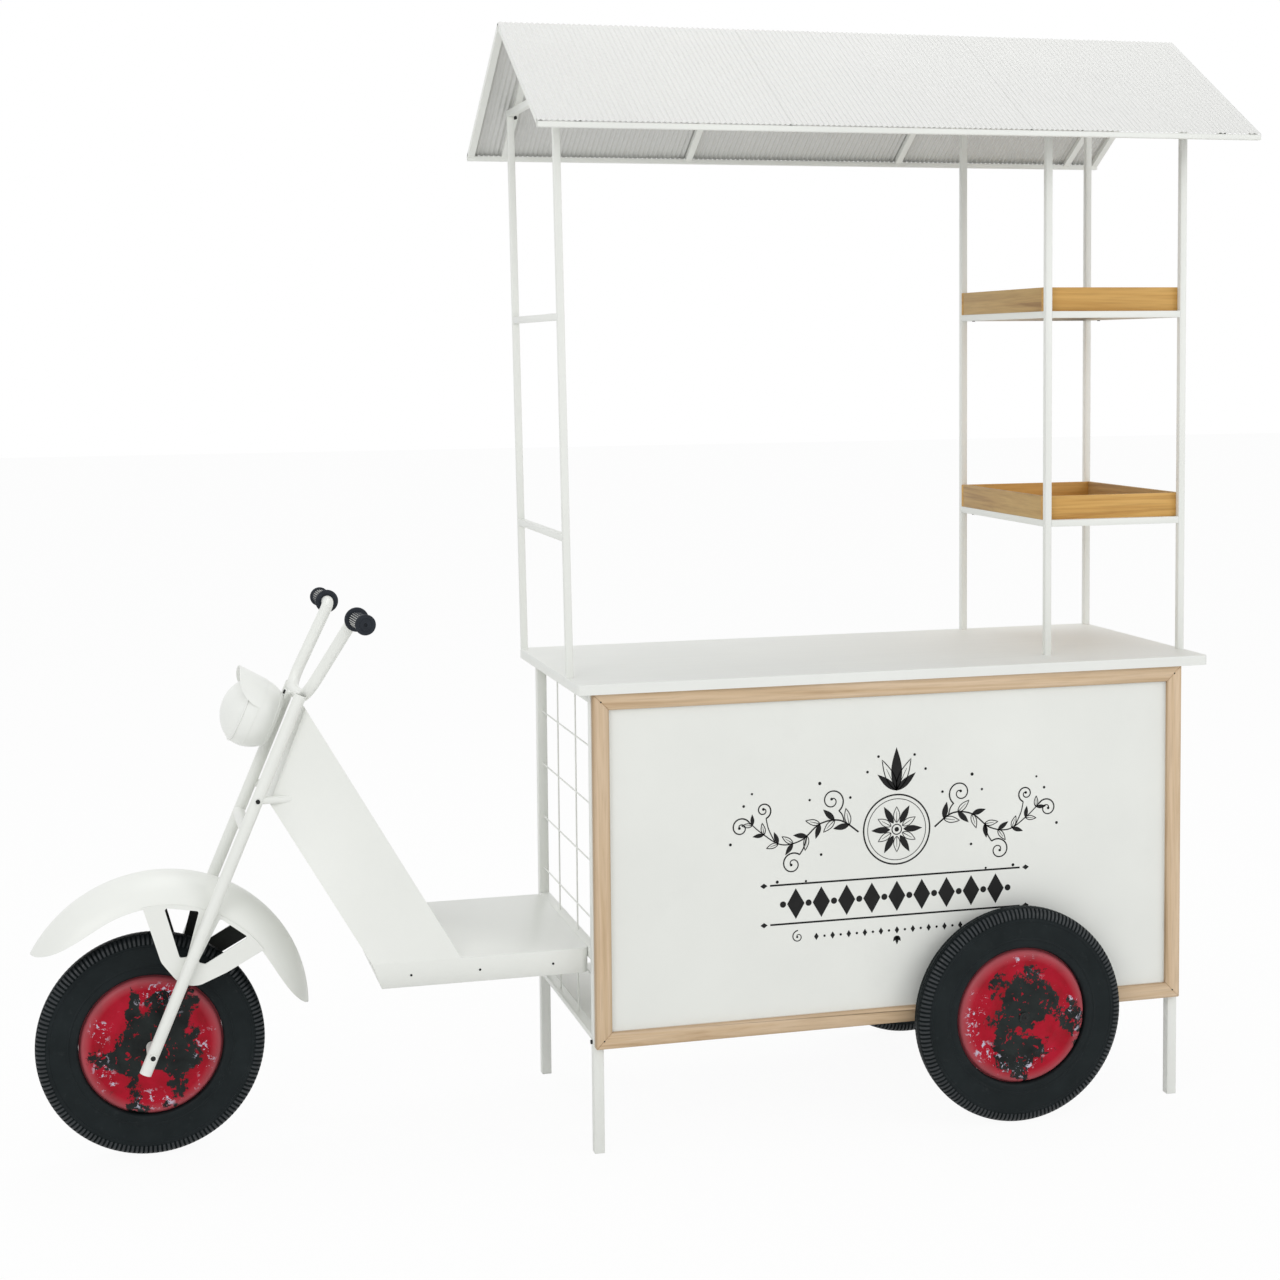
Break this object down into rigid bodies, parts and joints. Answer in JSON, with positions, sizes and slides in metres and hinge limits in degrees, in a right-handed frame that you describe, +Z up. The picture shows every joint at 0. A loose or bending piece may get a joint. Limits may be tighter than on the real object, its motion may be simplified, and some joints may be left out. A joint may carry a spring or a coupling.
{
  "type": "flower cart stand",
  "caption": "Roofed display cart on legs with a scooter-style front: counter, framed panel, tray tower, ribbed gable roof, fork with lamp and fender, and round wheels.",
  "frame": {"origin": "centre of the bounding box on the floor", "axes": "+X along the cart from the front wheel to the counter, +Y from the panel side to the open back, +Z up"},
  "size_m": [2.289, 0.734, 2.0869],
  "materials": {
    "counter_paint": "satin white paint with a few dark specks",
    "frame_paint": "satin white paint",
    "sheet_paint": "satin white paint",
    "roof_paint": "satin white paint on folded sheet",
    "shelf_board": "white painted board",
    "panel_print": "matt printed board with a plain leaf ornament",
    "pine": "bare pine with knots",
    "tray_wood": "oiled softwood",
    "wheel_red": "worn red paint with dark chips",
    "tyre_rubber": "ribbed side walls, rough tread",
    "grip_rubber": "black rubber with a pale grid",
    "lamp_paint": "gloss white paint",
    "axle_steel": "dull steel",
    "screw_black": "black oxide"
  },
  "bodies": {
    "cart": {"black_screws": "screw_black", "bottom_shelf": "shelf_board", "counter_top": "counter_paint", "fender_strut_far": "sheet_paint", "fender_strut_near": "sheet_paint", "footboard": "sheet_paint", "fork_cross_tube": "sheet_paint", "fork_leg_far": "sheet_paint", "fork_leg_near": "sheet_paint", "front_axle": "axle_steel", "front_fender": "sheet_paint", "front_panel": "panel_print", "grip_far": "grip_rubber", "grip_near": "grip_rubber", "handlebar": "sheet_paint", "lamp_bowl": "lamp_paint", "lamp_bracket": "lamp_paint", "lamp_lens": "lamp_paint", "lamp_visor": "lamp_paint", "left_rungs": "frame_paint", "leg_back_left": "frame_paint", "leg_back_right": "frame_paint", "leg_front_left": "frame_paint", "leg_front_right": "frame_paint", "leg_shield": "sheet_paint", "long_rails": "frame_paint", "panel_frame_bottom": "pine", "panel_frame_left": "pine", "panel_frame_right": "pine", "panel_frame_top": "pine", "post_left_back": "frame_paint", "post_left_front": "frame_paint", "roof_eave_bars": "frame_paint", "roof_rafters": "frame_paint", "roof_ridge_bar": "frame_paint", "roof_sheet_back": "roof_paint", "roof_sheet_front": "roof_paint", "roof_ties": "frame_paint", "shield_stubs": "sheet_paint", "side_axles": "axle_steel", "side_grid_left": "frame_paint", "side_grid_right": "frame_paint", "side_rails_left": "frame_paint", "side_rails_right": "frame_paint", "tower_post_back_left": "frame_paint", "tower_post_back_right": "frame_paint", "tower_post_front_left": "frame_paint", "tower_post_front_right": "frame_paint", "tower_rails": "frame_paint", "tray_lower": "tray_wood", "tray_upper": "tray_wood"},
    "front_wheel": {"front_wheel_tyre": "tyre_rubber", "front_wheel_discs": "wheel_red", "front_wheel_hub": "axle_steel"},
    "side_wheel_near": {"side_wheel_near_tyre": "tyre_rubber", "side_wheel_near_discs": "wheel_red", "side_wheel_near_hub": "axle_steel"},
    "side_wheel_far": {"side_wheel_far_tyre": "tyre_rubber", "side_wheel_far_discs": "wheel_red", "side_wheel_far_hub": "axle_steel"}
  },
  "joints": [
    {"name": "front_wheel_spin", "type": "hinge", "parent": "cart", "child": "front_wheel", "pos_m": [-0.93546, -0.03974, 0.206], "axis": [0, 1, 0], "continuous": true},
    {"name": "side_wheel_near_spin", "type": "hinge", "parent": "cart", "child": "side_wheel_near", "pos_m": [0.65754, -0.33574, 0.206], "axis": [0, 1, 0], "continuous": true},
    {"name": "side_wheel_far_spin", "type": "hinge", "parent": "cart", "child": "side_wheel_far", "pos_m": [0.65754, 0.25626, 0.206], "axis": [0, 1, 0], "continuous": true}
  ]
}
